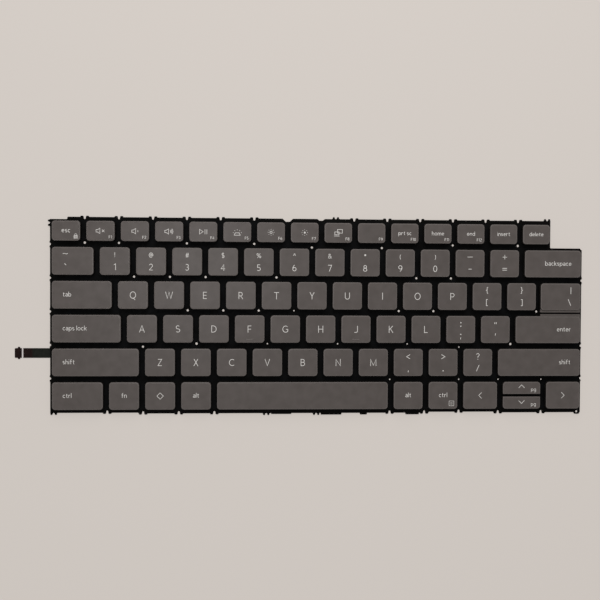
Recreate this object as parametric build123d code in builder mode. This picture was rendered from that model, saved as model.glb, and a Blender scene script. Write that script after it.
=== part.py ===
from build123d import *
import os
from math import asin, atan, cos, degrees, sin

# Laptop replacement keyboard, lying face up, in millimetres.
# The origin is on the underside below the middle of the key field, +X runs to the right along the rows,
# +Y runs towards the function row and +Z points out of the keycaps.

os.makedirs("parts", exist_ok=True)

# Key field
key_pitch = 19.05
key_gap = 3.13
row_pitch = 17.92
row_gap = 3.1
number_row_y = 28.9
edge_key_width = 21.91
backspace_width = 31.21
row_stagger = {"number": 0.0, "upper": 0.5, "home": 0.75, "lower": 1.25}
ctrl_width = 26.8
arrow_side_width = 18.7
arrow_middle_width = 20.8
half_key_gap = 1.25
function_depth = 10.7
function_width = 14.95
function_gap = 3.08
function_row_gap = 3.19

# Stack of sheets, from the underside up
backlight_thickness = 0.35
plate_thickness = 0.45
membrane_thickness = 0.25
mechanism_height = 2.35
cap_thickness = 0.9
skirt_depth = 0.9

# Keycaps
cap_draft = 0.22
cap_wall = 1.0
corner_cut = 1.15
filler_ledge = 1.15
filler_drop = 0.5
filler_gap = 2.6
homing_bar_width = 4.0
homing_bar_depth = 0.5
homing_bar_height = 0.15
homing_bar_offset = 5.5

# Rubber domes, scissor levers and stabilizer bars
dome_sides = 5
dome_radius = 2.6
dome_draft = 12.0
lever_thickness = 0.7
lever_bar = 0.9
lever_width = 11.6
lever_length = 11.0
lever_clearance = 0.12
half_lever_bar = 0.55
half_lever_width = 4.6
half_dome_radius = 1.05
bar_thickness = 0.6
bar_inset = 5.0
bar_leg = 6.0
bar_offset = 6.1
barred_key_width = 30.0

# Stamped support plate
plate_side_margin = 1.75
plate_front_margin = 2.05
plate_rear_margin = 2.3
plate_delete_margin = 1.5
front_strip_rise = 0.45
esc_step_depth = 1.3
esc_step_width = 9.1
shoulder_drop = 0.3
hole_radius = 0.65
pin_hole_radius = 0.42
hole_sides = 6
lug_root = 5.0
lug_tip = 4.2
lug_rise = 0.6
slot_width = 0.85
slot_mouth = 1.45
slot_depth = 1.15
tooth_root = 3.6
tooth_tip = 3.2
tooth_rise = 1.1
valley_width = 0.8
valley_mouth = 1.5
rear_teeth_offset = 8.0
side_teeth_inset = 3.3
front_teeth_offsets = (26.4, 53.5)
front_tabs = [(34.5, 10.9, 0.5), (61.6, 11.3, 0.9), (79.3, 3.8, 0.9), (106.1, 7.4, 0.9)]
side_lug_root = 4.2
side_lug_tip = 1.9
side_lug_rise = 0.4
side_notch_width = 0.6
side_notch_depth = 0.5
corner_notch_radius = 1.0
wide_scallop = (2.2, 5.6, 1.65)
shallow_scallop = (1.8, 4.1, 0.9)
eyelet_inset = 1.9
eyelet_tip = 2.4
eyelet_rise = 1.35
rear_hole_offset = 0.7
gap_hole_offset = 0.85
number_hole_offset = -0.8
lower_hole_offset = -0.85
space_hole_offset = -0.6

# Membrane and backlight sheet
sheet_inset = 1.75
clearance_hole = 2.4

# Backlight flex tail on the left
tail_offset = 4.65
tail_width = 5.2
tail_thickness = 0.2
tail_reach = 18.7
tail_tuck = 4.0
tail_slack = 0.15
stiffener_length = 3.7
stiffener_ear = 0.7
stiffener_ear_length = 1.2
stiffener_ear_inset = 1.6

# Levels and edges worked out from the sizes above
plate_z = backlight_thickness
membrane_z = plate_z + plate_thickness
mechanism_z = membrane_z + membrane_thickness
ceiling_z = mechanism_z + mechanism_height
cap_top_z = ceiling_z + cap_thickness
skirt_z = ceiling_z - skirt_depth
cap_draft_angle = degrees(atan(cap_draft / (cap_top_z - skirt_z)))
cap_width = key_pitch - key_gap
cap_depth = row_pitch - row_gap
number_keys = 12
field_width = edge_key_width + number_keys * cap_width + backspace_width + (number_keys + 1) * key_gap
field_right = field_width / 2
field_left = -field_right
row_y = {
    "number": number_row_y,
    "upper": number_row_y - row_pitch,
    "home": number_row_y - 2 * row_pitch,
    "lower": number_row_y - 3 * row_pitch,
    "space": number_row_y - 4 * row_pitch,
}
function_y = number_row_y + cap_depth / 2 + function_row_gap + function_depth / 2
tail_y = row_y["lower"] + tail_offset

# Keys by row, from left to right, one name each
function_names = ["esc", *[f"f{n}" for n in range(1, 13)], "insert", "delete"]
row_names = {
    "number": ["grave", *"1234567890", "minus", "equals", "backspace"],
    "upper": ["tab", *"qwertyuiop", "bracket_open", "bracket_close", "backslash"],
    "home": ["caps_lock", *"asdfghjkl", "semicolon", "apostrophe", "enter"],
    "lower": ["shift_left", *"zxcvbnm", "comma", "period", "slash", "shift_right"],
}
modifier_widths = ctrl_width + 5 * cap_width + 2 * arrow_side_width + arrow_middle_width
space_width = field_width - modifier_widths - 9 * key_gap
space_widths = {
    "ctrl_left": ctrl_width,
    "fn": cap_width,
    "system": cap_width,
    "alt_left": cap_width,
    "space": space_width,
    "alt_right": cap_width,
    "ctrl_right": cap_width,
    "arrow_left": arrow_side_width,
    "arrow_up": arrow_middle_width,
    "arrow_right": arrow_side_width,
}


# Each key is (left, front, right, rear) of its top face
keys = {}


def lay_row(names, widths, gap, centre_y, depth):
    left = field_left
    for name, width in zip(names, widths):
        keys[name] = (left, centre_y - depth / 2, left + width, centre_y + depth / 2)
        left += width + gap
    return left


lay_row(function_names, [function_width] * len(function_names), function_gap, function_y, function_depth)
for row, names in row_names.items():
    first_width = edge_key_width + row_stagger[row] * key_pitch
    widths = [first_width, *[cap_width] * (len(names) - 2)]
    last_left = lay_row(names, widths, key_gap, row_y[row], cap_depth)
    keys[names[-1]] = (last_left, row_y[row] - cap_depth / 2, field_right, row_y[row] + cap_depth / 2)
lay_row(space_widths, space_widths.values(), key_gap, row_y["space"], cap_depth)

# The up and down arrows share one place
up_left, up_front, up_right, up_rear = keys["arrow_up"]
keys["arrow_up"] = (up_left, row_y["space"] + half_key_gap / 2, up_right, up_rear)
keys["arrow_down"] = (up_left, up_front, up_right, row_y["space"] - half_key_gap / 2)

# The backslash and enter keys meet in a double-height opening, which starts left of the ordinary key edge
filler_left = keys["bracket_close"][2] + filler_gap
keys["backslash"] = (filler_left, *keys["backslash"][1:])
backslash_front = keys["backslash"][1]
enter_rear = keys["enter"][3]
fillers = {
    "backslash": (filler_left, backslash_front - filler_ledge, field_right, backslash_front + cap_wall),
    "enter": (filler_left, enter_rear - cap_wall, field_right, enter_rear + filler_ledge),
}

homing_names = ("f", "j")
fixed_names = [*function_names, *row_names["number"][:-1]]
moving_names = [name for name in keys if name not in fixed_names]


def middle(box):
    return ((box[0] + box[2]) / 2, (box[1] + box[3]) / 2)


def span(box, grow=0.0):
    return (box[2] - box[0] + 2 * grow, box[3] - box[1] + 2 * grow)


def keycaps(names):
    with BuildPart() as caps:
        with BuildSketch(Plane.XY.offset(skirt_z)) as outlines:
            for name in names:
                with Locations(middle(keys[name])):
                    Rectangle(*span(keys[name], cap_draft))
            # The up and down arrows keep square corners where they face each other
            corners = [v for v in outlines.vertices() if abs(v.Y - row_y["space"]) > half_key_gap]
            chamfer(corners, corner_cut)
        extrude(amount=cap_top_z - skirt_z, taper=cap_draft_angle)
        for name in names:
            if name in fillers:
                with BuildSketch(Plane.XY.offset(skirt_z)):
                    with Locations(middle(fillers[name])):
                        Rectangle(*span(fillers[name]))
                extrude(amount=cap_top_z - filler_drop - skirt_z)
        with BuildSketch(Plane.XY.offset(skirt_z)):
            for name in names:
                with Locations(middle(keys[name])):
                    Rectangle(*span(keys[name], cap_draft - cap_wall))
        extrude(amount=skirt_depth, mode=Mode.SUBTRACT)
        for name in names:
            if name in homing_names:
                bar_x, bar_y = middle(keys[name])
                with BuildSketch(Plane.XY.offset(cap_top_z)):
                    with Locations((bar_x, bar_y - homing_bar_offset)):
                        Rectangle(homing_bar_width, homing_bar_depth)
                extrude(amount=homing_bar_height)
    return caps


# Keycaps that travel, one piece each
for name in moving_names:
    key = keycaps([name])
    key.part.label = f"key_{name}"
    export_step(key.part, f"parts/key_{name}.step")

# Keycaps of the function and number rows
upper_row_keycaps = keycaps(fixed_names)
upper_row_keycaps.part.label = "upper_row_keycaps"
export_step(upper_row_keycaps.part, "parts/upper_row_keycaps.step")

# Rubber domes, one under each keycap
half_names = ("arrow_up", "arrow_down")
with BuildPart() as rubber_domes:
    with BuildSketch(Plane.XY.offset(mechanism_z)):
        for name, box in keys.items():
            with Locations(middle(box)):
                RegularPolygon(half_dome_radius if name in half_names else dome_radius, dome_sides)
    extrude(amount=mechanism_height, taper=dome_draft)
rubber_domes.part.label = "rubber_domes"
export_step(rubber_domes.part, "parts/rubber_domes.step")


def lever(width, length, bar, lean):
    # A yoke: two arms that rise towards the open end, joined by a bar at the low end
    tilt = asin((mechanism_height - lever_thickness) / length)
    slope = Plane(
        origin=(0, 0, mechanism_z + mechanism_height / 2),
        x_dir=(1, 0, 0),
        z_dir=(0, -lean * sin(tilt), cos(tilt)),
    )
    with BuildPart() as yoke:
        with BuildSketch(slope):
            Rectangle(width, length)
            with Locations((0, lean * bar / 2)):
                Rectangle(width - 2 * bar, length - bar, mode=Mode.SUBTRACT)
        extrude(amount=lever_thickness / 2, both=True)
    return yoke


def scissor(width, length, bar):
    # The inner yoke passes between the arms of the outer one and leans the other way
    inner_width = width - 2 * (bar + lever_clearance)
    return [lever(width, length, bar, 1).part, lever(inner_width, length, bar, -1).part]


# Scissor levers under the keycaps that travel
half_places = [Location((*middle(keys[name]), 0), (0, 0, 90)) for name in half_names]
standard_places = [Location((*middle(keys[name]), 0)) for name in moving_names if name not in half_names]
with BuildPart() as scissor_levers:
    with Locations(*standard_places):
        add(scissor(lever_width, lever_length, lever_bar))
    with Locations(*half_places):
        add(scissor(half_lever_width, lever_length, half_lever_bar))
scissor_levers.part.label = "scissor_levers"
export_step(scissor_levers.part, "parts/scissor_levers.step")

# Stabilizer bars under the wide keys, bent from wire
with BuildPart() as stabilizer_bars:
    for box in keys.values():
        key_width, key_depth = span(box)
        if key_width > barred_key_width:
            bar_x, bar_y = middle(box)
            half_run = key_width / 2 - bar_inset
            rear = bar_y + bar_offset
            with BuildLine(Plane.XY.offset(mechanism_z + bar_thickness / 2)) as route:
                Polyline(
                    (bar_x - half_run, rear - bar_leg),
                    (bar_x - half_run, rear),
                    (bar_x + half_run, rear),
                    (bar_x + half_run, rear - bar_leg),
                )
            with BuildSketch(Plane(route.line @ 0, x_dir=(1, 0, 0), z_dir=route.line % 0)):
                Rectangle(bar_thickness, bar_thickness)
            sweep(path=route.line, transition=Transition.RIGHT)
stabilizer_bars.part.label = "stabilizer_bars"
export_step(stabilizer_bars.part, "parts/stabilizer_bars.step")

# Edges of the support plate
plate_left = field_left - plate_side_margin
plate_right = field_right + plate_side_margin
plate_front = row_y["space"] - cap_depth / 2 - plate_front_margin
front_strip = plate_front - front_strip_rise
plate_rear = function_y + function_depth / 2 + plate_rear_margin
plate_shoulder = number_row_y + cap_depth / 2 + function_row_gap / 2 - shoulder_drop
plate_delete = keys["delete"][2] + plate_delete_margin

# Gaps between neighbouring keys, where the plate is pierced and slotted
function_gaps = [keys[name][2] + function_gap / 2 for name in function_names[:-1]]
row_gaps = {row: [keys[name][2] + key_gap / 2 for name in names[:-1]] for row, names in row_names.items()}
space_gaps = [keys[name][2] + key_gap / 2 for name in list(space_widths)[:-1]]
space_left = keys["space"][0]
gap_y = {row: y + row_pitch / 2 for row, y in row_y.items()}
hole_y = {row: y + gap_hole_offset for row, y in gap_y.items()}
rear_hole_y = function_y - function_depth / 2 - rear_hole_offset
lower_hole_y = gap_y["lower"] + lower_hole_offset
screw_holes = [
    *[(function_gaps[n], rear_hole_y) for n in (0, 13)],
    *[(row_gaps["home"][n], hole_y["lower"]) for n in (2, 11)],
]
stake_holes = [
    *[(function_gaps[n], rear_hole_y) for n in (1, 3, 5, 11)],
    *[(row_gaps["number"][n], gap_y["number"] + number_hole_offset) for n in (6, 8)],
    *[(row_gaps["number"][n], hole_y["upper"]) for n in (1, 2, 3, 5, 9, 10)],
    *[(row_gaps["upper"][n], hole_y["home"]) for n in (2, 3, 4, 8, 9, 12)],
    (row_gaps["lower"][0], lower_hole_y),
]
pin_holes = [
    (row_gaps["upper"][5], hole_y["home"]),
    *[(row_gaps["home"][n], hole_y["lower"]) for n in (4, 6, 8)],
    (row_gaps["lower"][9], lower_hole_y),
    *[(space_gaps[n], gap_y["space"] + space_hole_offset) for n in (4, 6, 7, 8)],
]
plate_holes = [*screw_holes, *stake_holes, *pin_holes]


def sheet_outline(inset):
    # The function row is shorter than the rest, so the outline has a shoulder on the right
    with BuildSketch() as outline:
        with Locations((plate_left + inset, plate_front + inset)):
            Rectangle(
                plate_right - plate_left - 2 * inset,
                plate_shoulder - plate_front - 2 * inset,
                align=(Align.MIN, Align.MIN),
            )
            Rectangle(
                plate_delete - plate_left - 2 * inset,
                plate_rear - plate_front - 2 * inset,
                align=(Align.MIN, Align.MIN),
            )
        with Locations((plate_left + inset, plate_rear - inset)):
            Rectangle(esc_step_width, esc_step_depth, align=(Align.MIN, Align.MAX), mode=Mode.SUBTRACT)
    return outline.sketch


def flare(inner_width, outer_width, inner, outer):
    # Corners of a shape that widens or narrows outwards from the plate's edge
    return [
        (-inner_width / 2, inner),
        (inner_width / 2, inner),
        (outer_width / 2, outer),
        (-outer_width / 2, outer),
    ]


# Lugs and pairs of teeth point outwards from the edges, and parts of the front edge stand out as strips
front_turn = (0, 0, 180)
left_turn = (0, 0, 90)
right_turn = (0, 0, -90)
strip_gaps = [*space_gaps[1:6], *space_gaps[7:]]
strips = [(space_gaps[1], space_gaps[5]), (space_gaps[7], plate_right)]
rear_lugs = [Location((function_gaps[n], plate_rear, 0)) for n in range(14) if n not in (6, 7)]
strip_lugs = [Location((x, front_strip, 0), front_turn) for x in strip_gaps]
front_lugs = [Location((x, plate_front, 0), front_turn) for x in space_gaps if x not in strip_gaps]
lugs = [*rear_lugs, *strip_lugs, *front_lugs]
tooth_pairs = [
    Location((function_gaps[7] + rear_teeth_offset, plate_rear, 0)),
    Location((plate_delete - tooth_root / 2, plate_rear, 0)),
    Location((plate_left, plate_rear - side_teeth_inset, 0), left_turn),
    Location((plate_left + tooth_root / 2, plate_front, 0), front_turn),
    *[Location((space_left + offset, front_strip, 0), front_turn) for offset in front_teeth_offsets],
]
left_lugs = [Location((plate_left, y, 0), left_turn) for y in gap_y.values()]
right_lugs = [Location((plate_right, gap_y[row], 0), right_turn) for row in ("upper", "lower", "space")]
side_lugs = [*left_lugs, *right_lugs]
eyelet = Location((plate_right - eyelet_inset, plate_front, 0), front_turn)

with BuildPart() as support_plate:
    with BuildSketch(Plane.XY.offset(plate_z)):
        add(sheet_outline(0))
        for left, right in strips:
            with Locations(((left + right) / 2, plate_front)):
                Rectangle(right - left, 2 * front_strip_rise)
        for offset, width, rise in front_tabs:
            with Locations((space_left + offset, front_strip)):
                Rectangle(width, 2 * rise)
        with Locations(*lugs):
            Polygon(*flare(lug_root, lug_tip, -front_strip_rise, lug_rise), align=None)
        with Locations(*tooth_pairs):
            Polygon(*flare(tooth_root, tooth_tip, 0, tooth_rise), align=None)
        with Locations(*side_lugs):
            Polygon(*flare(side_lug_root, side_lug_tip, 0, side_lug_rise), align=None)
        with Locations(eyelet):
            Polygon(*flare(2 * eyelet_inset, eyelet_tip, 0, eyelet_rise), align=None)
        # Slots, valleys between teeth, side notches, scallops and holes
        with Locations(*lugs):
            Polygon(*flare(slot_width, slot_mouth, -slot_depth, lug_rise), align=None, mode=Mode.SUBTRACT)
        with Locations(*tooth_pairs):
            Polygon(*flare(valley_width, valley_mouth, 0, tooth_rise), align=None, mode=Mode.SUBTRACT)
        with Locations(*side_lugs):
            notch = flare(side_notch_width, side_lug_tip, -side_notch_depth, side_lug_rise)
            Polygon(*notch, align=None, mode=Mode.SUBTRACT)
        for gap_x, (bottom, mouth, depth) in zip(function_gaps[6:8], (wide_scallop, shallow_scallop)):
            with Locations((gap_x, plate_rear)):
                Polygon(*flare(bottom, mouth, -depth, 0), align=None, mode=Mode.SUBTRACT)
        with Locations((plate_right, plate_shoulder)):
            RegularPolygon(corner_notch_radius, hole_sides, mode=Mode.SUBTRACT)
        with Locations(*stake_holes, eyelet):
            RegularPolygon(hole_radius, hole_sides, mode=Mode.SUBTRACT)
        with Locations(*pin_holes):
            RegularPolygon(pin_hole_radius, hole_sides, mode=Mode.SUBTRACT)
        with Locations(*screw_holes):
            Circle(hole_radius, mode=Mode.SUBTRACT)
    extrude(amount=plate_thickness)
support_plate.part.label = "support_plate"
export_step(support_plate.part, "parts/support_plate.step")

# Switch membrane, glued on the plate
with BuildPart() as membrane:
    with BuildSketch(Plane.XY.offset(membrane_z)):
        add(sheet_outline(sheet_inset))
        with Locations(*plate_holes):
            Rectangle(clearance_hole, clearance_hole, mode=Mode.SUBTRACT)
    extrude(amount=membrane_thickness)
membrane.part.label = "membrane"
export_step(membrane.part, "parts/membrane.step")

# Backlight sheet under the plate, notched for its flex tail
tail_inner = plate_left + tail_tuck
with BuildPart() as backlight_sheet:
    with BuildSketch():
        add(sheet_outline(sheet_inset))
        with Locations(*plate_holes):
            Rectangle(clearance_hole, clearance_hole, mode=Mode.SUBTRACT)
        with Locations((tail_inner, tail_y)):
            Rectangle(
                tail_tuck,
                tail_width + 2 * tail_slack,
                align=(Align.MAX, Align.CENTER),
                mode=Mode.SUBTRACT,
            )
    extrude(amount=backlight_thickness)
backlight_sheet.part.label = "backlight_sheet"
export_step(backlight_sheet.part, "parts/backlight_sheet.step")

# Flex tail of the backlight, bonded to the plate's underside
tail_end = plate_left - tail_reach
tail_z = plate_z - tail_thickness
with BuildPart() as backlight_tail:
    with BuildSketch(Plane.XY.offset(tail_z)):
        with Locations((tail_end, tail_y)):
            Rectangle(tail_inner - tail_end, tail_width, align=(Align.MIN, Align.CENTER))
    extrude(amount=tail_thickness)
backlight_tail.part.label = "backlight_tail"
export_step(backlight_tail.part, "parts/backlight_tail.step")

# Stiffener under the contact end of the tail, with a locking ear on each side
with BuildPart() as tail_stiffener:
    with BuildSketch():
        with Locations((tail_end, tail_y)):
            Rectangle(stiffener_length, tail_width, align=(Align.MIN, Align.CENTER))
        with Locations((tail_end + stiffener_ear_inset, tail_y)):
            Rectangle(
                stiffener_ear_length,
                tail_width + 2 * stiffener_ear,
                align=(Align.MIN, Align.CENTER),
            )
    extrude(amount=tail_z)
tail_stiffener.part.label = "tail_stiffener"
export_step(tail_stiffener.part, "parts/tail_stiffener.step")
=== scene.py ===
import bmesh
import bpy
from math import asin, cos, pi, radians, sin, sqrt, tan
from mathutils import Matrix, Vector


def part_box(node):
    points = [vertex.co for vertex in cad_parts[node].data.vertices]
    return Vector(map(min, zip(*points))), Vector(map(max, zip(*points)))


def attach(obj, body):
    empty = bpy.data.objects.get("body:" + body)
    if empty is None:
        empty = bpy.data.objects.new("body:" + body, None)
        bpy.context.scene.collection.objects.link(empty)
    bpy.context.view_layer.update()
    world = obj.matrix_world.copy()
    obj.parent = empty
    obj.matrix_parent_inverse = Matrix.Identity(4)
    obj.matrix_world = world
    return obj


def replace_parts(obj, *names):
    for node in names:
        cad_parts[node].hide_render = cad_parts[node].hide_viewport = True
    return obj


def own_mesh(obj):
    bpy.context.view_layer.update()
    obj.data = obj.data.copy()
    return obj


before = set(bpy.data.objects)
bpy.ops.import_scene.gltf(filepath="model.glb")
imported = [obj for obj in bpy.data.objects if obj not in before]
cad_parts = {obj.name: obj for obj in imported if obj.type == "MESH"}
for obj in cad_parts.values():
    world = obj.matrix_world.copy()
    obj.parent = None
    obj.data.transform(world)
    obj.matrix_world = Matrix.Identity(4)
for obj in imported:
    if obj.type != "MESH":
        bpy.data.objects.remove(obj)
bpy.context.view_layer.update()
scene = bpy.context.scene
scene.view_settings.view_transform = "Standard"
mm = 0.001

# Heights of the stack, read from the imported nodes, in millimetres
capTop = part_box("key_q")[1].z / mm
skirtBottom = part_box("key_q")[0].z / mm
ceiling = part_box("rubber_domes")[1].z / mm
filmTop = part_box("membrane")[1].z / mm
print("frame loaded, cap tops at", round(capTop, 2), "mm")


# Materials

noiseSpan = (0.3, 0.7)  # where nearly all of the noise lies


def shaderOf(material):
    return material.node_tree.nodes["Principled BSDF"]


def newMaterial(name, specular, metallic=0.0):
    material = bpy.data.materials.new(name)
    material.use_nodes = True
    shader = shaderOf(material)
    shader.inputs["Metallic"].default_value = metallic
    shader.inputs["Specular IOR Level"].default_value = specular
    return material


def grainOf(material, size, detail=2.0):
    # noise in the part's own frame, with blotches of about this size in millimetres
    tree = material.node_tree
    place = tree.nodes.new("ShaderNodeTexCoord")
    noise = tree.nodes.new("ShaderNodeTexNoise")
    noise.inputs["Scale"].default_value = 1 / (size * mm)
    noise.inputs["Detail"].default_value = detail
    tree.links.new(place.outputs["Object"], noise.inputs["Vector"])
    return noise.outputs["Fac"]


def rangeOf(material, source, low, high):
    tree = material.node_tree
    node = tree.nodes.new("ShaderNodeMapRange")
    limits = zip(("From Min", "From Max", "To Min", "To Max"), (*noiseSpan, low, high))
    for socketName, limit in limits:
        node.inputs[socketName].default_value = limit
    tree.links.new(source, node.inputs["Value"])
    return node.outputs["Result"]


def blendOf(material, factor, first, second):
    # first and second are colours or sockets
    tree = material.node_tree
    node = tree.nodes.new("ShaderNodeMix")
    node.data_type = "RGBA"
    node.clamp_factor = False  # a tint above 1 goes past the second colour
    tree.links.new(factor, node.inputs["Factor"])
    for socket, value in ((node.inputs["A"], first), (node.inputs["B"], second)):
        if isinstance(value, bpy.types.NodeSocket):
            tree.links.new(value, socket)
        else:
            socket.default_value = (*value, 1)
    return node.outputs["Result"]


def plug(material, socketName, source):
    material.node_tree.links.new(source, shaderOf(material).inputs[socketName])


def roughen(material, source, height, strength):
    tree = material.node_tree
    bump = tree.nodes.new("ShaderNodeBump")
    bump.inputs["Distance"].default_value = height * mm
    bump.inputs["Strength"].default_value = strength
    tree.links.new(source, bump.inputs["Height"])
    plug(material, "Normal", bump.outputs["Normal"])


def attributeOf(material, name):
    node = material.node_tree.nodes.new("ShaderNodeAttribute")
    node.attribute_name = name
    return node.outputs["Fac"]


# Each finish has blotches of two colours and a finer grain that varies the sheen, sizes in millimetres
finishes = {
    "keycap_plastic": {
        "specular": 0.1, "cloud": 5.0, "dark": (0.083, 0.072, 0.067), "light": (0.097, 0.084, 0.079),
        "grain": 0.16, "detail": 3, "sheen": (0.27, 0.34), "bump": (0.008, 0.25),
        # rim is a painted highlight for the cap's rounded top edge, wall is painted shade for its side walls
        "rim": (0.117, 0.103, 0.097), "wall": (0.014, 0.012, 0.011),
    },
    "legend_ink": {
        "specular": 0.2, "cloud": 0.25, "dark": (0.57, 0.55, 0.525), "light": (0.67, 0.65, 0.625),
        "grain": 0.4, "sheen": (0.5, 0.7),
    },
    "plate_paint": {
        "specular": 0.03, "cloud": 9.0, "dark": (0.0022, 0.0020, 0.0018), "light": (0.0040, 0.0038, 0.0035),
        "grain": 0.3, "detail": 3, "sheen": (0.5, 0.68), "bump": (0.01, 0.3),
    },
    "membrane_film": {
        "specular": 0.03, "cloud": 6.0, "dark": (0.0022, 0.0021, 0.0021), "light": (0.0040, 0.0041, 0.0045),
        "grain": 1.2, "sheen": (0.5, 0.7),
    },
    "light_sheet_film": {
        "specular": 0.4, "cloud": 14.0, "dark": (0.020, 0.020, 0.022), "light": (0.028, 0.028, 0.030),
        "grain": 0.5, "detail": 3, "sheen": (0.32, 0.5), "bump": (0.006, 0.25),
    },
    "dome_rubber": {
        "specular": 0.35, "cloud": 1.4, "dark": (0.30, 0.30, 0.31), "light": (0.40, 0.40, 0.41),
        "grain": 0.3, "sheen": (0.52, 0.7),
    },
    "lever_plastic": {
        "specular": 0.4, "cloud": 2.0, "dark": (0.010, 0.010, 0.010), "light": (0.018, 0.018, 0.018),
        "grain": 0.3, "sheen": (0.42, 0.58),
    },
    "bar_steel": {
        "specular": 0.5, "cloud": 0.5, "dark": (0.42, 0.42, 0.43), "light": (0.56, 0.56, 0.57),
        "grain": 0.2, "sheen": (0.24, 0.4), "metallic": 1.0,
    },
    "tail_film": {
        "specular": 0.08, "cloud": 1.5, "dark": (0.006, 0.007, 0.005), "light": (0.011, 0.012, 0.009),
        "grain": 0.4, "sheen": (0.34, 0.5),
        "endDark": (0.007, 0.002, 0.002), "endLight": (0.013, 0.005, 0.004),
    },
    "stiffener_board": {
        "specular": 0.08, "cloud": 0.8, "dark": (0.007, 0.003, 0.003), "light": (0.014, 0.007, 0.006),
        "grain": 0.3, "sheen": (0.42, 0.6),
    },
    "tail_print": {
        "specular": 0.3, "cloud": 0.4, "dark": (0.50, 0.46, 0.45), "light": (0.60, 0.56, 0.55),
        "grain": 0.4, "sheen": (0.48, 0.64),
    },
}


def cloudOf(material, size, dark, light):
    return blendOf(material, rangeOf(material, grainOf(material, size), 0, 1), dark, light)


def surface(name):
    look = finishes[name]
    material = newMaterial(name, look["specular"], look.get("metallic", 0.0))
    plug(material, "Base Color", cloudOf(material, look["cloud"], look["dark"], look["light"]))
    grain = grainOf(material, look["grain"], look.get("detail", 2.0))
    plug(material, "Roughness", rangeOf(material, grain, *look["sheen"]))
    if "bump" in look:
        roughen(material, grain, *look["bump"])
    return material


def colourOf(material):
    return shaderOf(material).inputs["Base Color"].links[0].from_socket


def keycapPlasticWithPaintedLight():
    # painted highlight on the rounded top edge and painted shade on the side walls, set on the caps' points
    look = finishes["keycap_plastic"]
    material = surface("keycap_plastic")
    highlightedTop = blendOf(material, attributeOf(material, "rim"), colourOf(material), look["rim"])
    plug(material, "Base Color", blendOf(material, attributeOf(material, "wall"), highlightedTop, look["wall"]))
    return material


def tailFilm(fadeFrom, fadeTo):
    # greenish black by the plate, turning red brown towards the contact end
    look = finishes["tail_film"]
    material = surface("tail_film")
    nearEnd = cloudOf(material, look["cloud"], look["endDark"], look["endLight"])
    tree = material.node_tree
    place = tree.nodes.new("ShaderNodeTexCoord")
    split = tree.nodes.new("ShaderNodeSeparateXYZ")
    fade = tree.nodes.new("ShaderNodeMapRange")
    fade.inputs["From Min"].default_value = fadeFrom * mm
    fade.inputs["From Max"].default_value = fadeTo * mm
    tree.links.new(place.outputs["Object"], split.inputs["Vector"])
    tree.links.new(split.outputs["X"], fade.inputs["Value"])
    plug(material, "Base Color", blendOf(material, fade.outputs["Result"], nearEnd, colourOf(material)))
    return material


# Shapes shared by the pieces, in millimetres

def addPiece(name, bm, body, material, smooth=35):
    bmesh.ops.recalc_face_normals(bm, faces=bm.faces)
    bm.transform(Matrix.Scale(mm, 4))
    mesh = bpy.data.meshes.new(name)
    bm.to_mesh(mesh)
    bm.free()
    mesh.polygons.foreach_set("use_smooth", [True] * len(mesh.polygons))
    mesh.set_sharp_from_angle(angle=radians(smooth))
    mesh.materials.append(material)
    piece = bpy.data.objects.new(name, mesh)
    scene.collection.objects.link(piece)
    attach(piece, body)
    return piece


sharpRadius = 0.3  # of a corner that is nearly square
mostOfSide = 0.4975  # a corner takes up a little less than half of a side


def roundedLoop(rect, inset, radius, height, steps=6, square=None):
    # the corners on the square side, front or rear, stay nearly sharp
    left, front, right, rear = rect[0] + inset, rect[1] + inset, rect[2] - inset, rect[3] - inset
    radius = min(radius, mostOfSide * (right - left), mostOfSide * (rear - front))
    sharp = min(radius, sharpRadius)
    frontRadius, rearRadius = (sharp if square == side else radius for side in ("front", "rear"))
    corners = (
        (right - frontRadius, front + frontRadius, frontRadius, -90),
        (right - rearRadius, rear - rearRadius, rearRadius, 0),
        (left + rearRadius, rear - rearRadius, rearRadius, 90),
        (left + frontRadius, front + frontRadius, frontRadius, 180),
    )
    loop = []
    for x, y, reach, start in corners:
        for step in range(steps + 1):
            angle = radians(start + 90 * step / steps)
            loop.append((x + reach * cos(angle), y + reach * sin(angle), height))
    return loop


def loft(bm, loops):
    # skins closed loops in turn and closes both ends
    rings = [[bm.verts.new(point) for point in loop] for loop in loops]
    for low, high in zip(rings, rings[1:]):
        for here, point in enumerate(low):
            after = (here + 1) % len(low)
            bm.faces.new((point, low[after], high[after], high[here]))
    bm.faces.new(reversed(rings[0]))
    bm.faces.new(rings[-1])
    return rings


def prism(bm, outline, low, high):
    loft(bm, [[(x, y, low) for x, y in outline], [(x, y, high) for x, y in outline]])


def rectangle(left, front, right, rear):
    return [(left, front), (right, front), (right, rear), (left, rear)]


def overlaps(one, other, slack=0.01):
    apartX = one[0] > other[2] + slack or other[0] > one[2] + slack
    apartY = one[1] > other[3] + slack or other[1] > one[3] + slack
    return not (apartX or apartY)


def facesAt(node, height, slack=0.02):
    # rectangles (left, front, right, rear) round the node's level faces at this height
    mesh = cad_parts[node].data
    rects = []
    for face in mesh.polygons:
        points = [mesh.vertices[v].co / mm for v in face.vertices]
        if max(abs(p.z - height) for p in points) < slack:
            xs = [p.x for p in points]
            ys = [p.y for p in points]
            rect = [min(xs), min(ys), max(xs), max(ys)]
            joined = [r for r in rects if overlaps(r, rect)]
            rects = [r for r in rects if r not in joined]
            joined.append(rect)
            lows = [min(r[n] for r in joined) for n in (0, 1)]
            highs = [max(r[n] for r in joined) for n in (2, 3)]
            rects.append(lows + highs)
    return rects


def middleOf(rect):
    return ((rect[0] + rect[2]) / 2, (rect[1] + rect[3]) / 2)


# Keys by name, with the rectangle of each cap's top face

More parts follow.
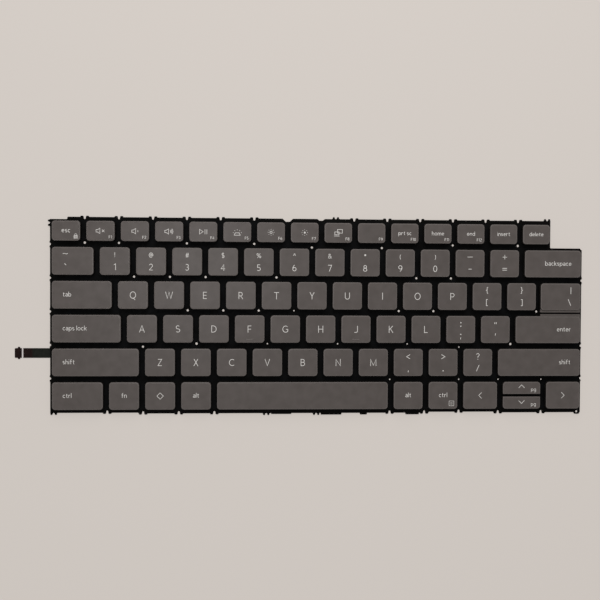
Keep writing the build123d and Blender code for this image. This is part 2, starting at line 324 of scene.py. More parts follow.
functionNames = ["esc", *[f"f{n}" for n in range(1, 13)], "insert", "delete"]
numberNames = ["grave", *"1234567890", "minus", "equals"]
halfNames = ("arrow_up", "arrow_down")
movingNames = [node.removeprefix("key_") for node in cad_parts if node.startswith("key_")]
capRects = {name: facesAt(f"key_{name}", capTop)[0] for name in movingNames}
upperRects = sorted(facesAt("upper_row_keycaps", capTop), key=lambda rect: (-round(rect[1]), rect[0]))
capRects.update(zip(functionNames + numberNames, upperRects))
print("caps found:", len(movingNames), "that travel and", len(upperRects), "in the upper rows")


# Keycaps

cap = {
    "corner": 1.75,
    "edge": 0.32,
    "edgeTurns": (30, 60, 90),
    "draft": 0.1,
    "wall": 1.0,
    "innerCorner": 0.5,
    "skirtEase": 0.1,
    # width of the top band across which the painted highlight fades out
    "highlightBand": 0.45,
    "squareSides": {"arrow_up": "front", "arrow_down": "rear"},
}
ledge = {"drop": 0.5, "overlap": 0.8, "corner": 0.3, "ease": 0.1, "steps": 3}
homing = {
    "height": 0.15,
    "corner": 0.24,
    "sink": 0.05,
    "draft": 0.02,
    "ease": 0.06,
    "inset": 0.1,
    "steps": 4,
    # strength of the painted highlight on the bar, past the caps' rim colour
    "tint": 1.7,
}


def tint(bm, rings, layerName, level=1.0):
    layer = bm.verts.layers.float.get(layerName)
    for ring in rings:
        for vert in ring:
            vert[layer] = level


def addCap(bm, rect, square=None):
    edge = cap["edge"]
    outlines = [
        (cap["wall"], cap["innerCorner"], ceiling),
        (cap["wall"] - cap["draft"], cap["innerCorner"] + cap["draft"], skirtBottom),
        (cap["skirtEase"] - cap["draft"], cap["corner"], skirtBottom),
        (-cap["draft"], cap["corner"] + cap["draft"], skirtBottom + cap["skirtEase"]),
        (0, cap["corner"], capTop - edge),
    ]
    wallRings = len(outlines) + 1  # up to the first step of the rounded edge
    for turn in cap["edgeTurns"]:
        inset = edge * (1 - cos(radians(turn)))
        outlines.append((inset, cap["corner"] - inset, capTop - edge + edge * sin(radians(turn))))
    outlines.append((edge + cap["highlightBand"], cap["corner"] - edge, capTop))
    rings = loft(bm, [roundedLoop(rect, *outline, square=square) for outline in outlines])
    # painted highlight on the rounded top edge, and painted shade on the walls below it
    tint(bm, rings[wallRings:-1], "rim")
    tint(bm, rings[:wallRings], "wall")


def addLedge(bm, rect, capRect):
    # the lower step of the two keys that share the double opening, run into its cap's wall
    left, front, right, rear = rect
    if rear < middleOf(capRect)[1]:
        rear = capRect[1] + ledge["overlap"]
    else:
        front = capRect[3] - ledge["overlap"]
    height = capTop - ledge["drop"]
    outlines = (
        (0, ledge["corner"], skirtBottom),
        (0, ledge["corner"], height - ledge["ease"]),
        (ledge["ease"], ledge["corner"] - ledge["ease"], height),
    )
    joined = (left, front, right, rear)
    rings = loft(bm, [roundedLoop(joined, *outline, ledge["steps"]) for outline in outlines])
    # painted shade on the step's side walls
    tint(bm, rings[:2], "wall")


def addHomingBar(bm, rect):
    height = capTop + homing["height"]
    levels = (
        (0, capTop - homing["sink"]),
        (homing["draft"], height - homing["ease"]),
        (homing["inset"], height),
    )
    outlines = [(inset, homing["corner"] - inset, level) for inset, level in levels]
    rings = loft(bm, [roundedLoop(rect, *outline, homing["steps"]) for outline in outlines])
    # painted shade round the bar's foot and a stronger painted highlight on its sides and top
    tint(bm, rings[:1], "wall")
    tint(bm, rings[1:], "rim", homing["tint"])


def newCapMesh():
    bm = bmesh.new()
    # rim holds the painted highlight, wall the painted shade
    for layerName in ("rim", "wall"):
        bm.verts.layers.float.new(layerName)
    return bm


plastic = keycapPlasticWithPaintedLight()
for name in movingNames:
    node = f"key_{name}"
    bm = newCapMesh()
    addCap(bm, capRects[name], cap["squareSides"].get(name))
    for rect in facesAt(node, capTop - ledge["drop"]):
        addLedge(bm, rect, capRects[name])
    for rect in facesAt(node, capTop + homing["height"]):
        addHomingBar(bm, rect)
    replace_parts(addPiece(f"cap_{name}", bm, f"{name}_key", plastic), node)
bm = newCapMesh()
for name in functionNames + numberNames:
    addCap(bm, capRects[name])
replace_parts(addPiece("upper_row_caps", bm, "base", plastic), "upper_row_keycaps")
print("keycaps made")


# Legends, drawn as lines of even width on a grid

capitalHeight = 10
ovalStep = 20  # degrees
leastOvalSteps = 4


def oval(x, y, acrossRadius, upRadius, first=0, last=360):
    steps = max(leastOvalSteps, round(abs(last - first) / ovalStep))
    turns = [radians(first + (last - first) * step / steps) for step in range(steps + 1)]
    return [(x + acrossRadius * cos(turn), y + upRadius * sin(turn)) for turn in turns]


def stem(x, low=0, high=capitalHeight):
    return [(x, low), (x, high)]


def mirrored(lines):
    return [[(-x, y) for x, y in line] for line in lines]


capitals = {
    "A": [[(0.2, 0), (3.7, 9.7), (7.2, 0)], [(1.4, 3.3), (6.0, 3.3)]],
    "B": [
        stem(0.6),
        [(0.6, 9.5), *oval(3.1, 7.4, 2.2, 2.1, 90, -90), (0.6, 5.3)],
        [(3.1, 5.3), *oval(3.4, 2.9, 2.5, 2.4, 90, -90), (0.6, 0.5)],
    ],
    "C": [oval(4.6, 5, 4.1, 4.5, 50, 310)],
    "D": [stem(0.6), [(0.6, 9.5), *oval(2.8, 5, 4.3, 4.5, 90, -90), (0.6, 0.5)]],
    "E": [[(5.4, 9.5), (0.6, 9.5), (0.6, 0.5), (5.4, 0.5)], [(0.6, 5.1), (5.0, 5.1)]],
    "F": [[(5.4, 9.5), (0.6, 9.5), (0.6, 0)], [(0.6, 4.9), (5.0, 4.9)]],
    "G": [[*oval(4.6, 5, 4.1, 4.5, 50, 320), (7.74, 4.7), (5.0, 4.7)]],
    "H": [stem(0.6), stem(6.8), [(0.6, 5.1), (6.8, 5.1)]],
    "I": [stem(0.6)],
    "J": [[(4.7, 10), *oval(2.5, 2.7, 2.2, 2.2, 0, -90), (0.3, 0.6)]],
    "K": [stem(0.6), [(5.9, 10), (0.9, 4.6)], [(2.4, 6.0), (6.2, 0)]],
    "L": [[(0.6, 10), (0.6, 0.5), (5.2, 0.5)]],
    "M": [[(0.6, 0), (0.6, 9.6), (4.5, 1.0), (8.4, 9.6), (8.4, 0)]],
    "N": [[(0.6, 0), (0.6, 9.6), (6.8, 0.4), (6.8, 10)]],
    "O": [oval(4.8, 5, 3.9, 4.7)],
    "P": [stem(0.6), [(0.6, 9.5), *oval(3.0, 6.9, 2.7, 2.6, 90, -90), (0.6, 4.3)]],
    "Q": [oval(4.8, 5, 3.9, 4.7), [(4.9, 1.4), (7.9, -1.9)]],
    "R": [stem(0.6), [(0.6, 9.5), *oval(3.0, 7.0, 2.5, 2.5, 90, -90), (0.6, 4.5)], [(3.0, 4.5), (6.2, 0)]],
    "S": [[*oval(3.1, 7.3, 2.4, 2.2, 40, 270), *oval(3.1, 2.8, 2.7, 2.3, 90, -140)]],
    "T": [[(0, 9.5), (6.8, 9.5)], stem(3.4, 0, 9.5)],
    "U": [[(0.6, 10), *oval(3.7, 3.6, 3.1, 3.1, 180, 360), (6.8, 10)]],
    "V": [[(0.2, 10), (3.6, 0.4), (7.0, 10)]],
    "W": [[(0.2, 10), (2.7, 0.4), (5.2, 9.4), (7.7, 0.4), (10.2, 10)]],
    "X": [[(0.4, 10), (6.2, 0)], [(6.0, 10), (0.2, 0)]],
    "Y": [[(0.2, 10), (3.3, 4.7), (6.4, 10)], stem(3.3, 0, 4.7)],
    "Z": [[(0.5, 9.5), (5.9, 9.5), (0.5, 0.5), (6.1, 0.5)]],
}
digits = {
    "0": [oval(3.2, 5, 2.6, 4.5)],
    "1": [[(0.7, 7.8), (3.1, 9.7), (3.1, 0)]],
    "2": [[*oval(3.0, 7.0, 2.4, 2.5, 160, -30), (0.6, 0.5), (5.8, 0.5)]],
    "3": [[*oval(2.8, 7.3, 2.2, 2.2, 140, -90), *oval(2.8, 2.8, 2.6, 2.3, 90, -140)]],
    "4": [[(4.5, 0), (4.5, 9.5), (0.4, 3.0), (6.4, 3.0)]],
    "5": [[(5.2, 9.5), (1.4, 9.5), (1.1, 5.5), *oval(2.9, 3.1, 2.6, 2.6, 110, -140)]],
    "6": [oval(3.2, 3.1, 2.6, 2.6), oval(4.8, 3.4, 4.2, 6.1, 180, 105)],
    "7": [[(0.4, 9.5), (5.8, 9.5), (2.2, 0)]],
    "8": [oval(3.2, 7.4, 2.1, 2.1), oval(3.2, 2.9, 2.6, 2.4)],
    "9": [oval(3.2, 6.9, 2.6, 2.6), oval(1.6, 6.6, 4.2, 6.1, 0, -75)],
}
smallLetters = {
    "a": [
        [*oval(2.6, 4.9, 2.0, 1.6, 150, 0), (4.6, 0)],
        [(4.6, 3.8), *oval(2.4, 2.0, 1.9, 1.5, 80, 290), (4.6, 1.6)],
    ],
    "b": [stem(0.6, 0, 10.3), oval(3.2, 3.4, 2.5, 2.9)],
    "c": [oval(3.2, 3.4, 2.6, 2.9, 50, 310)],
    "d": [stem(5.8, 0, 10.3), oval(3.2, 3.4, 2.5, 2.9)],
    "e": [[(0.7, 3.5), (5.7, 3.5), *oval(3.2, 3.4, 2.5, 2.9, 5, 310)]],
    "f": [[(1.7, 0), *oval(3.5, 8.0, 1.8, 1.9, 180, 80)], [(0.2, 6.3), (3.8, 6.3)]],
    "g": [oval(3.2, 3.4, 2.5, 2.9), [(5.8, 6.6), *oval(3.3, -0.6, 2.5, 2.1, 0, -130)]],
    "h": [stem(0.6, 0, 10.3), [*oval(2.9, 4.0, 2.3, 2.3, 180, 0), (5.2, 0)]],
    "i": [stem(0.6, 0, 6.6), stem(0.6, 8.6, 9.9)],
    "k": [stem(0.6, 0, 10.3), [(4.8, 6.6), (0.8, 2.9)], [(2.1, 4.0), (5.2, 0)]],
    "l": [stem(0.6, 0, 10.3)],
    "m": [
        stem(0.6, 0, 6.6),
        [*oval(2.6, 4.3, 2.0, 2.0, 180, 0), (4.6, 0)],
        [*oval(6.6, 4.3, 2.0, 2.0, 180, 0), (8.6, 0)],
    ],
    "n": [stem(0.6, 0, 6.6), [*oval(2.9, 4.0, 2.3, 2.3, 180, 0), (5.2, 0)]],
    "o": [oval(3.3, 3.4, 2.7, 2.9)],
    "p": [stem(0.6, -2.9, 6.6), oval(3.2, 3.4, 2.5, 2.9)],
    "r": [stem(0.6, 0, 6.6), oval(3.0, 3.6, 2.4, 2.6, 180, 75)],
    "s": [[*oval(2.4, 4.9, 1.7, 1.4, 40, 270), *oval(2.4, 1.95, 1.9, 1.5, 90, -140)]],
    "t": [[(1.6, 8.6), *oval(3.1, 2.0, 1.5, 1.5, 180, 280)], [(0.2, 6.3), (3.6, 6.3)]],
}
dot = oval(0.7, 0.7, 0.48, 0.48)
upperDot = oval(0.7, 6.1, 0.48, 0.48)
brace = [[(3.4, 10.2), (2.4, 10.0), (1.9, 9.3), (1.9, 6.6), (1.3, 5.7), (0.4, 5.4),
          (1.3, 5.1), (1.9, 4.2), (1.9, 1.5), (2.4, 0.8), (3.4, 0.6)]]
bracket = [[(2.8, 9.2), (0.6, 9.2), (0.6, -0.4), (2.8, -0.4)]]
curve = [oval(4.6, 4.2, 4.0, 6.6, 130, 230)]
less = [[(6.0, 8.0), (0.5, 4.6), (6.0, 1.2)]]
marks = {
    "~": [[(0.0, 5.5), (1.4, 6.8), (3.1, 7.1), (7.2, 5.8), (8.9, 6.1), (10.3, 7.4)]],
    "`": [[(0.3, 9.8), (2.7, 7.2)]],
    "!": [stem(0.7, 3.0, 10), stem(0.7, 0, 1.3)],
    "@": [
        oval(4.7, 4.6, 1.9, 2.2),
        [(6.7, 6.9), (6.5, 3.2), (7.4, 2.4), (8.6, 3.4), *oval(4.7, 4.6, 4.1, 4.8, 0, 300)],
    ],
    "#": [[(1.8, 0), (3.2, 10)], [(4.6, 0), (6.0, 10)], [(0.4, 6.7), (7.0, 6.7)], [(0.1, 3.3), (6.7, 3.3)]],
    "$": [*capitals["S"], stem(3.1, -1.2, 11.2)],
    "%": [[(2.0, 0), (7.4, 10)], oval(2.0, 7.6, 1.6, 2.0), oval(7.4, 2.4, 1.6, 2.0)],
    "^": [[(0.4, 5.4), (2.8, 9.8), (5.2, 5.4)]],
    "&": [[(7.3, 0.2), (2.0, 6.8), *oval(3.2, 7.8, 1.6, 1.7, 190, -30), (1.5, 4.5),
           *oval(3.0, 2.6, 2.4, 2.1, 150, 290), (5.4, 1.6), (6.9, 4.8)]],
    "*": [stem(2.6, 5.2, 10), [(0.5, 6.4), (4.7, 8.8)], [(0.5, 8.8), (4.7, 6.4)]],
    "(": curve,
    ")": mirrored(curve),
    "_": [[(0, 5.2), (11.5, 5.2)]],
    "-": [[(0, 4.8), (4.8, 4.8)]],
    "+": [[(0, 5.4), (9.6, 5.4)], stem(4.8, 0.6, 10.2)],
    "=": [[(0, 6.4), (7.2, 6.4)], [(0, 3.6), (7.2, 3.6)]],
    "{": brace,
    "}": mirrored(brace),
    "[": bracket,
    "]": mirrored(bracket),
    "|": [stem(0.6, 0.2, 10.6)],
    "\\": [[(0.3, 10), (4.5, 0)]],
    "/": [[(4.5, 10), (0.3, 0)]],
    ":": [dot, upperDot],
    ";": [upperDot, [(0.9, 1.3), (0.3, -1.7)]],
    "\"": [[(0.9, 7.1), (0.5, 4.2)], [(3.3, 7.1), (2.9, 4.2)]],
    "'": [[(0.9, 7.8), (0.4, 4.4)]],
    "<": less,
    ">": mirrored(less),
    ",": [[(1.0, 1.3), (0.4, -1.6)]],
    ".": [dot],
    "?": [[*oval(2.6, 7.4, 2.1, 2.1, 165, -50), (2.6, 4.6), (2.6, 3.0)], stem(2.6, 0, 1.3)],
}
glyphs = {**capitals, **digits, **smallLetters, **marks}

legend = {
    "join": 0.01,
    "mitre": 0.55,
    "depth": 0.02,
    "rise": 0.012,
    "lift": 0.002,
    "spacing": 2.3,
    "space": 3.0,
    "stroke": 0.31,
    "wordStroke": 0.26,
    "functionWordStroke": 0.235,
    "fineStroke": 0.19,
    "letterHeight": 3.75,
    "digitHeight": 3.5,
    "signHeight": 2.5,
    "wordHeight": 2.45,
    "functionWordHeight": 2.15,
    "labelHeight": 1.5,
    "labelMargin": 1.6,
    "labelBase": 1.4,
    "pageHeight": 2.0,
    "pagePlace": (6.6, -1.7),
    "upperBase": 2.2,
    "upperMarkBase": 1.55,
    "lowerBase": -4.75,
    "wordBase": -0.9,
    "sideMargin": 5.9,
    "endMargin": 5.5,
    "graveMargin": 7.15,
}
numberMarks = ["~`", "!1", "@2", "#3", "$4", "%5", "^6", "&7", "*8", "(9", ")0", "_-", "+="]
numberSigns = dict(zip(numberNames, numberMarks))
otherSigns = {
    "bracket_open": "{[",
    "bracket_close": "}]",
    "backslash": "|\\",
    "semicolon": ":;",
    "apostrophe": "\"'",
    "comma": "<,",
    "period": ">.",
    "slash": "?/",
}
words = {
    "esc": "esc",
    "f10": "prt sc",
    "f11": "home",
    "f12": "end",
    "insert": "insert",
    "delete": "delete",
    "backspace": "backspace",
    "tab": "tab",
    "caps_lock": "caps lock",
    "enter": "enter",
    "shift_left": "shift",
    "shift_right": "shift",
    "ctrl_left": "ctrl",
    "fn": "fn",
    "alt_left": "alt",
    "alt_right": "alt",
    "ctrl_right": "ctrl",
}
leftWords = ("tab", "caps_lock", "shift_left", "ctrl_left")
rightWords = ("backspace", "enter", "shift_right", "backslash")


def addRibbon(bm, points, width, layer=0):
    # a flat line through the points with mitred corners, shut when it ends where it began
    path = [Vector(points[0])]
    for point in points[1:]:
        if (Vector(point) - path[-1]).length > legend["join"]:
            path.append(Vector(point))
    shut = (path[0] - path[-1]).length < legend["join"]
    if shut:
        path.pop()
    count = len(path)
    low, high = capTop - legend["depth"], capTop + legend["rise"] + legend["lift"] * layer
    rings = []
    for n, here in enumerate(path):
        into = (here - path[n - 1]).normalized() if shut or n else None
        out = (path[(n + 1) % count] - here).normalized() if shut or n < count - 1 else into
        into = into or out
        side = Vector((-into.y - out.y, into.x + out.x)).normalized()
        reach = width / 2 / max(legend["mitre"], side.dot(Vector((-into.y, into.x))))
        left, right = here + side * reach, here - side * reach
        ring = ((left, low), (right, low), (right, high), (left, high))
        rings.append([bm.verts.new((p.x, p.y, z)) for p, z in ring])
    for n in range(count if shut else count - 1):
        ring, after = rings[n], rings[(n + 1) % count]
        for k in range(4):
            bm.faces.new((ring[k], ring[(k + 1) % 4], after[(k + 1) % 4], after[k]))
    if not shut:
        bm.faces.new(rings[0])
        bm.faces.new(rings[-1])


def addText(bm, text, x, base, height, width, align="centre"):
    scale = height / capitalHeight
    pen = 0
    placed = []
    for letter in text:
        if letter == " ":
            pen += legend["space"]
            continue
        lines = glyphs[letter]
        low = min(px for line in lines for px, py in line)
        high = max(px for line in lines for px, py in line)
        placed += [[(px - low + pen, py) for px, py in line] for line in lines]
        pen += high - low + legend["spacing"]
    span = pen - legend["spacing"]
    start = x - {"left": 0, "centre": 0.5, "right": 1}[align] * span * scale
    for layer, line in enumerate(placed):
        addRibbon(bm, [(start + px * scale, base + py * scale) for px, py in line], width, layer)


def box(left, front, right, rear):
    return [*rectangle(left, front, right, rear), (left, front)]


def rays(count, near, far, first=0, last=360):
    turns = [radians(first + (last - first) * n / count) for n in range(count)]
    return [[(near * cos(t), near * sin(t)), (far * cos(t), far * sin(t))] for t in turns]


# Each sign is a list of lines about the middle of its cap, in millimetres
speaker = [(-2.3, -0.6), (-1.5, -0.6), (-0.3, -1.4), (-0.3, 1.4), (-1.5, 0.6), (-2.3, 0.6), (-2.3, -0.6)]
signs = {
    "f1": [speaker, [(0.8, -0.6), (2.0, 0.6)], [(0.8, 0.6), (2.0, -0.6)]],
    "f2": [[(px + 0.7, py) for px, py in speaker], oval(0.6, 0, 1.0, 1.0, -30, 30)],
    "f3": [speaker, *[oval(-0.3, 0, r, r, -38, 38) for r in (1.1, 1.7, 2.3)]],
    "f4": [
        [(-2.0, -1.25), (-0.1, 0), (-2.0, 1.25), (-2.0, -1.25)],
        *[[(x, -1.3), (x, 1.3)] for x in (0.9, 1.9)],
    ],
    "f5": [
        [(-1.55, -1.7), (1.55, -1.7), (1.1, -0.45), (-1.1, -0.45), (-1.55, -1.7)],
        *[[(px, py - 1.1) for px, py in ray] for ray in rays(5, 2.05, 2.45, 20, 195)],
    ],
    "f6": [oval(0, 0, 0.6, 0.6), *rays(8, 1.4, 1.75)],
    "f7": [*[oval(0, 0, r, r) for r in (0.15, 0.38)], *rays(8, 1.35, 1.65)],
    "f8": [box(-1.9, -1.0, 0.4, 0.5), box(-0.4, -0.1, 2.2, 1.8), [(-2.2, -1.7), (0.7, -1.7)]],
    "system": [[(0, -1.7), (1.7, 0), (0, 1.7), (-1.7, 0), (0, -1.7)]],
    "arrow_left": [[(0.8, 1.6), (-0.8, 0), (0.8, -1.6)]],
    "arrow_right": [[(-0.8, 1.6), (0.8, 0), (-0.8, -1.6)]],
    "arrow_up": [[(-1.6, 0.05), (0, 1.7), (1.6, 0.05)]],
    "arrow_down": [[(-1.6, 1.2), (0, -0.45), (1.6, 1.2)]],
}
cornerSigns = {
    "esc": [box(-0.9, -1.3, 0.9, 0.1), *[[(-0.9, y), (0.9, y)] for y in (-0.9, -0.5, -0.1)],
            oval(0, 0.2, 0.6, 0.95, 0, 180)],
    "ctrl_right": [box(-1.3, -1.3, 1.3, 1.3), *[[(-0.6, y), (0.6, y)] for y in (-0.35, 0.35)]],
}
cornerPlace = {"esc": (5.1, -2.7), "ctrl_right": (4.66, -4.3)}


def addSign(bm, lines, x, y, width):
    for layer, line in enumerate(lines):
        addRibbon(bm, [(x + px, y + py) for px, py in line], width, layer)


def addLegend(bm, name):
    rect = capRects[name]
    x, y = middleOf(rect)
    place, align = x, "centre"
    if name in leftWords:
        place, align = rect[0] + legend["sideMargin"], "left"
    if name in rightWords:
        place, align = rect[2] - legend["endMargin"], "right"
    if name == "grave":
        place = rect[0] + legend["graveMargin"]
    stroke = legend["stroke"]
    if len(name) == 1 and name.isalpha():
        addText(bm, name.upper(), x, y - legend["letterHeight"] / 2, legend["letterHeight"], stroke)
    if name in words:
        kind = "functionWord" if name in functionNames[1:] else "word"
        height, width = legend[f"{kind}Height"], legend[f"{kind}Stroke"]
        addText(bm, words[name], place, y + legend["wordBase"], height, width, align)
    if name in numberSigns:
        upper, lower = numberSigns[name]
        addText(bm, upper, place, y + legend["upperBase"], legend["signHeight"], legend["wordStroke"], align)
        addText(bm, lower, place, y + legend["lowerBase"], legend["digitHeight"], stroke, align)
    if name in otherSigns:
        upper, lower = otherSigns[name]
        addText(bm, upper, place, y + legend["upperMarkBase"], legend["digitHeight"], stroke, align)
        addText(bm, lower, place, y + legend["lowerBase"], legend["digitHeight"], stroke, align)
    if name[0] == "f" and name[1:].isdigit():
        right, base = rect[2] - legend["labelMargin"], rect[1] + legend["labelBase"]
        addText(bm, name.upper(), right, base, legend["labelHeight"], legend["fineStroke"], "right")
    if name in signs:
        addSign(bm, signs[name], x, y, legend["wordStroke"])
    if name in cornerSigns:
        across, along = cornerPlace[name]
        addSign(bm, cornerSigns[name], x + across, y + along, legend["fineStroke"])
    if name in halfNames:
        across, along = legend["pagePlace"]
        addText(bm, "pg", x + across, y + along, legend["pageHeight"], legend["fineStroke"])


ink = surface("legend_ink")
for name in movingNames:
    bm = bmesh.new()
    addLegend(bm, name)
    if bm.verts:
        addPiece(f"legend_{name}", bm, f"{name}_key", ink)
    else:
        bm.free()
bm = bmesh.new()
for name in functionNames + numberNames:
    addLegend(bm, name)
addPiece("upper_row_legends", bm, "base", ink)
print("legends printed")


# Rubber domes and scissor levers

dome = {
    "radius": 2.6,
    "halfRadius": 1.05,
    "profile": [(1.0, 0.0), (1.0, 0.10), (0.90, 0.16), (0.74, 0.55), (0.60, 0.72), (0.56, 0.97), (0.50, 1.0)],
    "sides": 24,
    "shut": 0.44,
}
lever = {
    "width": 11.6,
    "length": 11.0,
    "functionLength": 7.7,
    "halfWidth": 4.6,
    "bar": 0.9,
    "halfBar": 0.55,
    "thickness": 0.7,
    "clearance": 0.12,
    "ease": 0.12,
}


def addDome(bm, name):
    x, y = middleOf(capRects[name])
    radius = dome["halfRadius"] if name in halfNames else dome["radius"]
    turns = [2 * pi * n / dome["sides"] for n in range(dome["sides"])]
    loops = []
    for share, rise in dome["profile"]:
        height = filmTop + rise * (ceiling - filmTop)
        loops.append([(x + radius * share * cos(t), y + radius * share * sin(t), height) for t in turns])
    loft(bm, loops)


def addYoke(bm, place, width, length, bar, turn):
    # two arms joined by a bar at their low end, leaning towards the open end
    tilt = asin((ceiling - filmTop - lever["thickness"]) / length)
    half = width / 2
    inner = half - bar
    foot = -length / 2
    outline = [(-half, foot), (half, foot), (half, -foot), (inner, -foot), (inner, foot + bar),
               (-inner, foot + bar), (-inner, -foot), (-half, -foot)]
    yoke = bmesh.new()
    prism(yoke, outline, -lever["thickness"] / 2, lever["thickness"] / 2)
    bmesh.ops.bevel(yoke, geom=yoke.edges[:], offset=lever["ease"], segments=1, affect="EDGES")
    yoke.transform(place @ Matrix.Rotation(turn, 4, "Z") @ Matrix.Rotation(tilt, 4, "X"))
    mesh = bpy.data.meshes.new("yoke")
    yoke.to_mesh(mesh)
    yoke.free()
    bm.from_mesh(mesh)
    bpy.data.meshes.remove(mesh)


def addScissor(bm, name):
    x, y = middleOf(capRects[name])
    width, length, bar, turn = lever["width"], lever["length"], lever["bar"], 0
    if name in functionNames:
        length = lever["functionLength"]
    if name in halfNames:
        width, bar, turn = lever["halfWidth"], lever["halfBar"], pi / 2
    place = Matrix.Translation((x, y, (filmTop + ceiling) / 2)) @ Matrix.Rotation(turn, 4, "Z")
    addYoke(bm, place, width, length, bar, 0)
    addYoke(bm, place, width - 2 * (bar + lever["clearance"]), length, bar, pi)


def settle(piece):
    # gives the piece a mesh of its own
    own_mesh(piece)


rubber = surface("dome_rubber")
leverMoulding = surface("lever_plastic")
for name in movingNames:
    bm = bmesh.new()
    addDome(bm, name)
    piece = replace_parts(addPiece(f"dome_{name}", bm, "base", rubber), "rubber_domes")
    settle(piece)
    bm = bmesh.new()
    addScissor(bm, name)
    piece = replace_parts(addPiece(f"levers_{name}", bm, "base", leverMoulding), "scissor_levers")
    settle(piece)
domes, levers = bmesh.new(), bmesh.new()
for name in functionNames + numberNames:
    addDome(domes, name)
    addScissor(levers, name)
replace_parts(addPiece("upper_row_domes", domes, "base", rubber), "rubber_domes")
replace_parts(addPiece("upper_row_levers", levers, "base", leverMoulding), "scissor_levers")
print("domes and levers made")


# Plate and films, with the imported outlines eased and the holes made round

sheet = {
    "ease": 0.6,
    "share": 0.45,
    "straight": 170,
    "leastTangent": 0.2,
    "steps": 4,
    "holeSides": 24,
    "holeSpan": 4.0,
    "weld": 0.0005,
    "smooth": 30,
}


def loopsAt(node, height, slack=0.01):
    # closed outlines of the node's level faces at this height
    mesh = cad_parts[node].data
    place = {v.index: (round(v.co.x / mm, 3), round(v.co.y / mm, 3)) for v in mesh.vertices}
    sides = {}
    for face in mesh.polygons:
        corners = list(face.vertices)
        if max(abs(mesh.vertices[v].co.z / mm - height) for v in corners) < slack:
            for start, end in zip(corners, corners[1:] + corners[:1]):
                sides[(place[start], place[end])] = True
    rim = {start: end for start, end in sides if (end, start) not in sides}
    loops = []
    while rim:
        start, point = rim.popitem()
        loop = [start]
        while point != start:
            loop.append(point)
            point = rim.pop(point)
        loops.append(loop)
    return loops


def extent(loop):
    xs = [x for x, y in loop]
    ys = [y for x, y in loop]
    return max(max(xs) - min(xs), max(ys) - min(ys))


def roundHole(loop):
    # a circle of the same area
    count = len(loop)
    x = sum(p[0] for p in loop) / count
    y = sum(p[1] for p in loop) / count
    reach = sqrt((loop[0][0] - x) ** 2 + (loop[0][1] - y) ** 2)
    radius = reach * sqrt(count / (2 * pi) * sin(2 * pi / count))
    turns = [2 * pi * n / sheet["holeSides"] for n in range(sheet["holeSides"])]
    return [(x + radius * cos(t), y + radius * sin(t)) for t in turns]


def easeCorners(loop):
    eased = []
    count = len(loop)
    for n, corner in enumerate(loop):
        here = Vector(corner)
        before = Vector(loop[n - 1]) - here
        after = Vector(loop[(n + 1) % count]) - here
        straight = before.angle(after)
        if straight > radians(sheet["straight"]):
            eased.append(corner)
            continue
        tangent = max(sheet["leastTangent"], abs(tan(straight / 2)))
        reach = min(sheet["ease"] / tangent, sheet["share"] * min(before.length, after.length))
        start = here + before.normalized() * reach
        end = here + after.normalized() * reach
        for step in range(sheet["steps"] + 1):
            t = step / sheet["steps"]
            point = start * (1 - t) ** 2 + here * 2 * t * (1 - t) + end * t ** 2
            eased.append((point.x, point.y))
    return eased


def sheetMesh(node):
    low, high = (corner.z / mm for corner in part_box(node))
    loops = sorted(loopsAt(node, high), key=extent)
    outlines = [easeCorners(loops.pop())]
    for loop in loops:
        outlines.append(roundHole(loop) if extent(loop) < sheet["holeSpan"] else easeCorners(loop))
    curve = bpy.data.curves.new(node, "CURVE")
    curve.dimensions = "2D"
    curve.fill_mode = "BOTH"
    curve.extrude = (high - low) / 2
    for outline in outlines:
        spline = curve.splines.new("POLY")
        spline.points.add(len(outline) - 1)
        spline.use_cyclic_u = True
        for point, (x, y) in zip(spline.points, outline):
            point.co = (x, y, 0, 1)
    holder = bpy.data.objects.new(node, curve)
    mesh = bpy.data.meshes.new_from_object(holder)
    bpy.data.objects.remove(holder)
    bpy.data.curves.remove(curve)
    bm = bmesh.new()
    bm.from_mesh(mesh)
    bpy.data.meshes.remove(mesh)
    bm.transform(Matrix.Translation((0, 0, (low + high) / 2)))
    bmesh.ops.remove_doubles(bm, verts=bm.verts, dist=sheet["weld"])
    return bm


# The tail's sizes run from its contact end
tail = {"fadeFrom": 8.8, "fadeTo": 9.8, "lineFrom": 3.75, "lineWidth": 0.75, "lineHeight": 0.02}
tailLow, tailHigh = (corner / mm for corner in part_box("backlight_tail"))
film = tailFilm(tailLow.x + tail["fadeFrom"], tailLow.x + tail["fadeTo"])
for node, name, material, slot in (
    ("support_plate", "stamped_plate", surface("plate_paint"), "plate"),
    ("membrane", "switch_film", surface("membrane_film"), "membrane"),
    ("backlight_sheet", "light_sheet", surface("light_sheet_film"), "light_sheet"),
    ("backlight_tail", "flex_tail", film, "tail"),
    ("tail_stiffener", "contact_stiffener", surface("stiffener_board"), "stiffener"),
):
    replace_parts(addPiece(name, sheetMesh(node), "base", material, sheet["smooth"]), node)
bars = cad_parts["stabilizer_bars"]
bars.data.materials.clear()
bars.data.materials.append(surface("bar_steel"))
print("plate and films made")


# Printed line across the tail

bm = bmesh.new()
lineLeft = tailLow.x + tail["lineFrom"]
outline = rectangle(lineLeft, tailLow.y, lineLeft + tail["lineWidth"], tailHigh.y)
prism(bm, outline, tailHigh.z - tail["lineHeight"], tailHigh.z + tail["lineHeight"])
addPiece("tail_line", bm, "base", surface("tail_print"))


# Floor, light and camera

studio = {
    "floor": (0.635, 0.586, 0.545),
    "floorGlow": 0.75,
    "floorRoughness": 0.9,
    "floorSpecular": 0.1,
    "floorSize": 6.0,
    "world": (1.0, 0.985, 0.965),
    "worldLevel": 0.42,
    "lamps": {
        "softbox": {"power": 1.9, "size": 0.2, "place": (-0.17, 0.055, 1.1)},
        "window": {"power": 3.3, "size": 0.5, "place": (0.0, 0.5, 0.45)},
    },
}


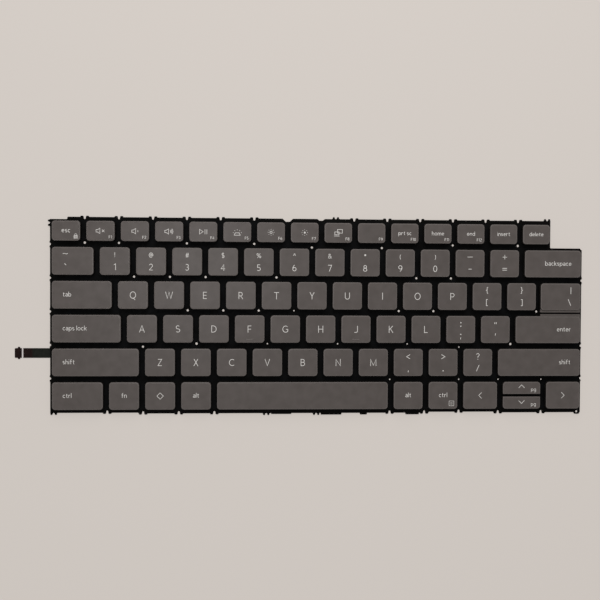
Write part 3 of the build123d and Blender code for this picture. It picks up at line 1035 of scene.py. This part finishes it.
def floorMaterial():
    material = newMaterial("pale_floor", studio["floorSpecular"])
    tree = material.node_tree
    shader = shaderOf(material)
    shader.inputs["Roughness"].default_value = studio["floorRoughness"]
    shader.inputs["Base Color"].default_value = (*studio["floor"], 1)
    glow = tree.nodes.new("ShaderNodeEmission")
    glow.inputs["Color"].default_value = (*studio["floor"], 1)
    path = tree.nodes.new("ShaderNodeLightPath")
    seen = tree.nodes.new("ShaderNodeMath")
    seen.operation = "MAXIMUM"
    share = tree.nodes.new("ShaderNodeMath")
    share.operation = "MULTIPLY"
    share.inputs[1].default_value = studio["floorGlow"]
    mix = tree.nodes.new("ShaderNodeMixShader")
    tree.links.new(path.outputs["Is Camera Ray"], seen.inputs[0])
    tree.links.new(path.outputs["Is Glossy Ray"], seen.inputs[1])
    tree.links.new(seen.outputs["Value"], share.inputs[0])
    tree.links.new(share.outputs["Value"], mix.inputs["Fac"])
    tree.links.new(shader.outputs["BSDF"], mix.inputs[1])
    tree.links.new(glow.outputs["Emission"], mix.inputs[2])
    tree.links.new(mix.outputs["Shader"], tree.nodes["Material Output"].inputs["Surface"])
    return material


half = studio["floorSize"] / 2
floorMesh = bpy.data.meshes.new("floor")
floorCorners = [(x, y, 0) for x, y in rectangle(-half, -half, half, half)]
floorMesh.from_pydata(floorCorners, [], [(0, 1, 2, 3)])
floorMesh.materials.append(floorMaterial())
floor = bpy.data.objects.new("floor", floorMesh)
scene.collection.objects.link(floor)

scene.world = bpy.data.worlds.new("studio")
scene.world.use_nodes = True
sky = scene.world.node_tree.nodes["Background"]
sky.inputs["Color"].default_value = (*studio["world"], 1)
sky.inputs["Strength"].default_value = studio["worldLevel"]

for name, lamp in studio["lamps"].items():
    lampData = bpy.data.lights.new(name, "AREA")
    lampData.size = lamp["size"]
    lampData.energy = lamp["power"]
    holder = bpy.data.objects.new(name, lampData)
    holder.location = lamp["place"]
    towardsOrigin = -Vector(lamp["place"])
    holder.rotation_euler = towardsOrigin.to_track_quat("-Z", "Y").to_euler()
    scene.collection.objects.link(holder)

view = {
    "place": (-31.2, 16.72, 411.41),
    "lens": 45.6,
    "sensor": 36.0,
    "nearest": 0.01,
    "turns": (0.0196, 0.0493, -0.0051),
}
cameraData = bpy.data.cameras.new("camera")
cameraData.lens = view["lens"]
cameraData.sensor_width = view["sensor"]
cameraData.clip_start = view["nearest"]
camera = bpy.data.objects.new("camera", cameraData)
tiltX, tiltY, tiltZ = (Matrix.Rotation(turn, 3, axis) for turn, axis in zip(view["turns"], "XYZ"))
worldToCamera = tiltZ @ tiltX @ tiltY
camera.matrix_world = Matrix.Translation(Vector(view["place"]) * mm) @ worldToCamera.transposed().to_4x4()
scene.collection.objects.link(camera)
scene.camera = camera
print("studio set")
